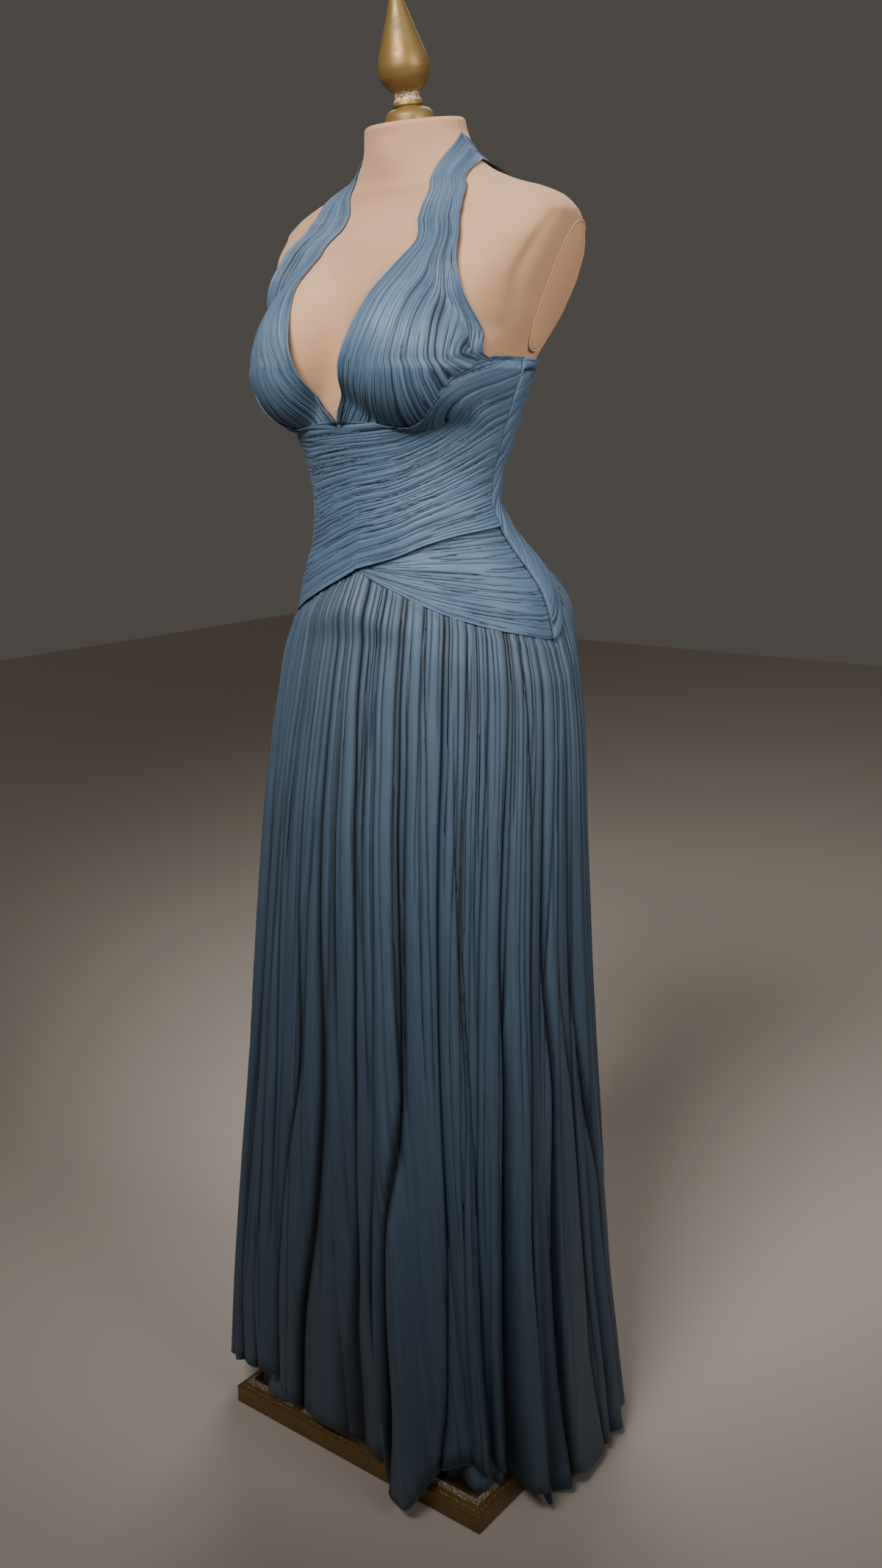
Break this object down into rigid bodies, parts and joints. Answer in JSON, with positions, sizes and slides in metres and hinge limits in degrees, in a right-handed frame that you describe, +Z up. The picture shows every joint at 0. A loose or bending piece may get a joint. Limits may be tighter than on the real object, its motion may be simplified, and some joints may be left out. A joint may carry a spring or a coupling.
{
  "type": "pleated halter evening gown on a limbless dress form",
  "caption": "Full-length halter gown with gathered cups, crosswise-pleated bodice and gathered skirt, shown on a limbless dress form on a moulded base.",
  "frame": {"origin": "the base's underside where it stands on the floor, straight below the hips' centre line; the base's own centre is 48 mm in front of it", "axes": "+Z up along the pole, -Y towards the wearer's front, +X towards the wearer's left"},
  "size_m": [0.5104, 0.3935, 1.743],
  "materials": {
    "gown_crepe": "crinkle-pleated silk crepe, slate blue, soft sheen",
    "lining_satin": "plain satin lining, slate blue",
    "zip_tape": "concealed zip tape",
    "form_jersey": "tan stretch jersey over a padded form",
    "old_gilding": "aged gold paint on turned and moulded wood",
    "pole_steel": "plain steel tube"
  },
  "bodies": {
    "root": {"form_torso": "form_jersey", "arm_plate_left": "form_jersey", "arm_plate_right": "form_jersey", "finial": "old_gilding", "pole": "pole_steel", "base": "old_gilding", "bust_left": "gown_crepe", "bust_right": "gown_crepe", "back_strap_left": "gown_crepe", "back_strap_right": "gown_crepe", "back_bodice_left": "gown_crepe", "back_bodice_right": "gown_crepe", "back_zip": "zip_tape", "midriff_wrap": "gown_crepe", "hip_wrap_left": "gown_crepe", "skirt_front_left": "gown_crepe", "skirt_front_right": "gown_crepe", "skirt_back_left": "gown_crepe", "skirt_back_right": "gown_crepe", "underskirt": "lining_satin"}
  },
  "joints": []
}
